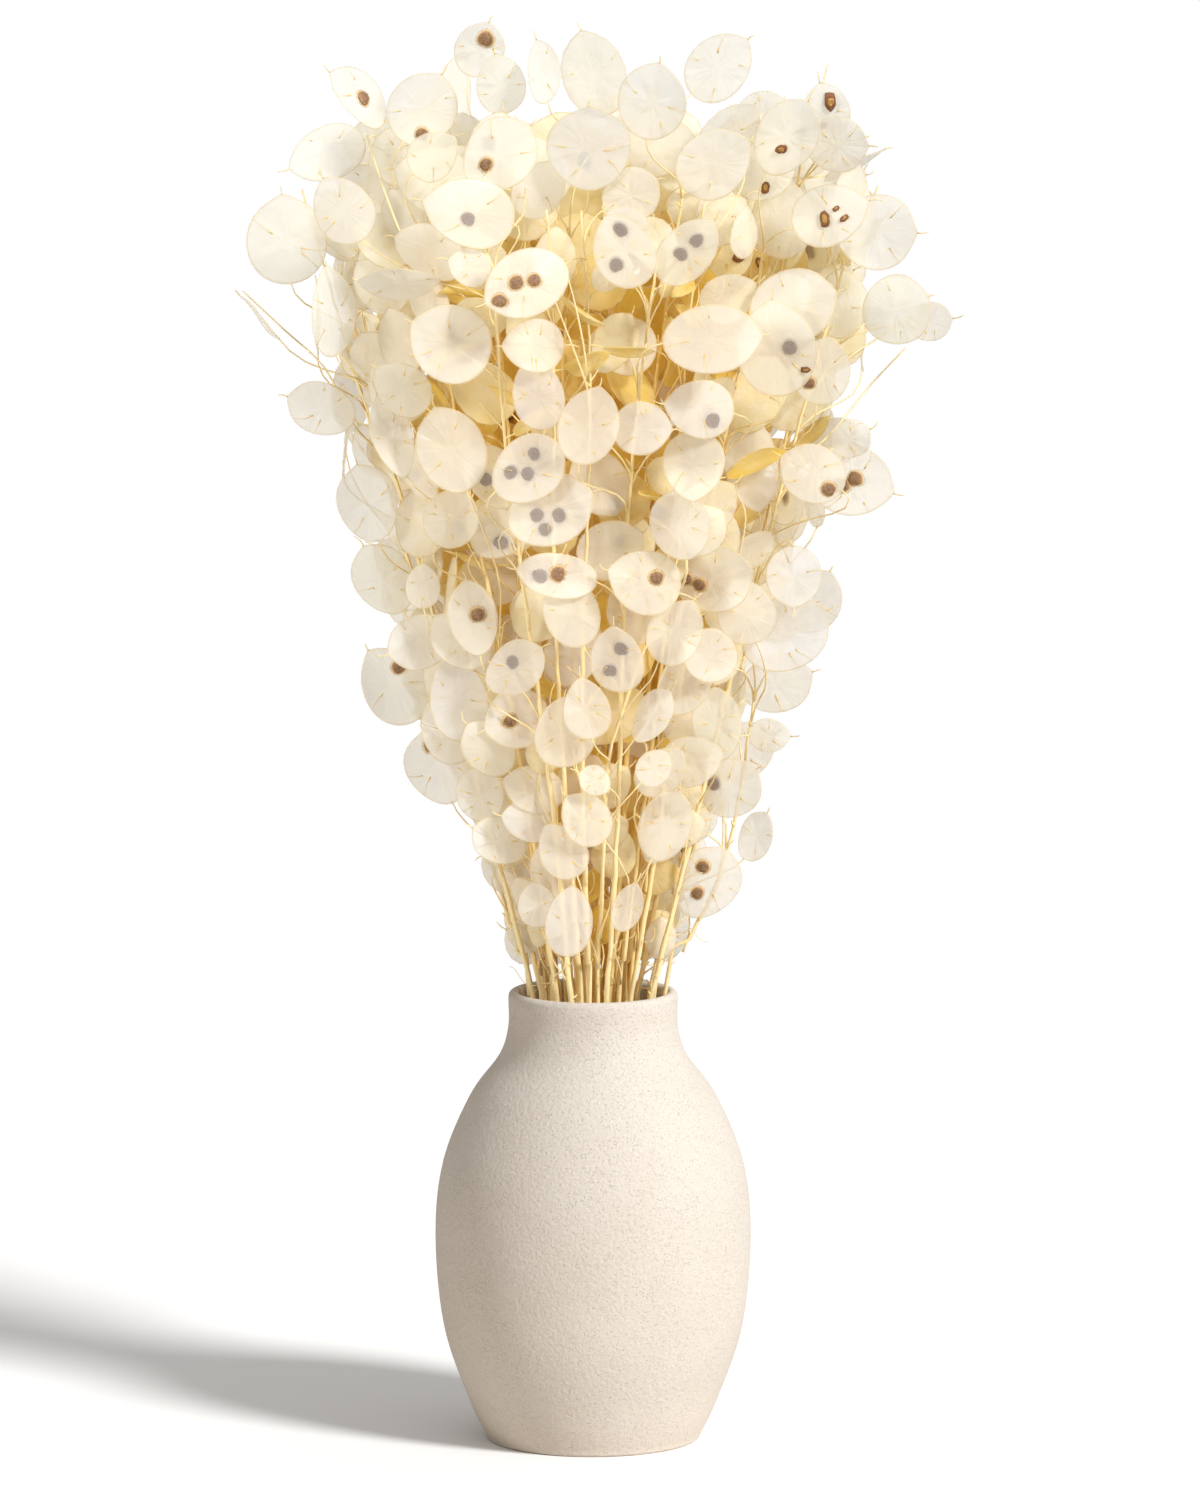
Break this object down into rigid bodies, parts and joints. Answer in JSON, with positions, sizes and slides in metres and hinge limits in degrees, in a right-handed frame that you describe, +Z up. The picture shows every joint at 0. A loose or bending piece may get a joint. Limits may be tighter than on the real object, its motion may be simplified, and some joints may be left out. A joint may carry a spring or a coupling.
{
  "type": "honesty seed pod stem",
  "caption": "Dried honesty stems with papery silver seed pods and brown seeds, standing loose in a matte stoneware vase.",
  "frame": {"origin": "centre of the vase's foot, on the surface it stands on", "axes": "+Z up along the stems, front of the bunch towards -Y, +X to the right seen from the front"},
  "size_m": [0.3243, 0.2646, 0.6589],
  "materials": {
    "stoneware": "matte",
    "dried_pod": "satin",
    "dried_stem": "matte",
    "seed": "matte"
  },
  "bodies": {
    "root": {"vase": "stoneware", "spray_01": "dried_pod", "spray_02": "dried_pod", "spray_03": "dried_pod", "spray_04": "dried_pod", "spray_05": "dried_pod", "spray_06": "dried_pod", "spray_07": "dried_pod", "spray_08": "dried_pod", "spray_09": "dried_pod", "spray_10": "dried_pod", "spray_11": "dried_pod", "spray_12": "dried_pod", "spray_13": "dried_pod", "spray_14": "dried_pod", "spray_15": "dried_pod", "spray_16": "dried_pod", "spray_17": "dried_pod", "spray_18": "dried_pod", "spray_19": "dried_pod", "spray_20": "dried_pod", "spray_21": "dried_pod", "spray_22": "dried_pod", "spray_23": "dried_pod", "spray_24": "dried_pod", "spray_25": "dried_pod", "spray_26": "dried_pod", "spray_27": "dried_pod", "spray_28": "dried_pod", "spray_29": "dried_pod", "spray_30": "dried_pod"}
  },
  "joints": []
}
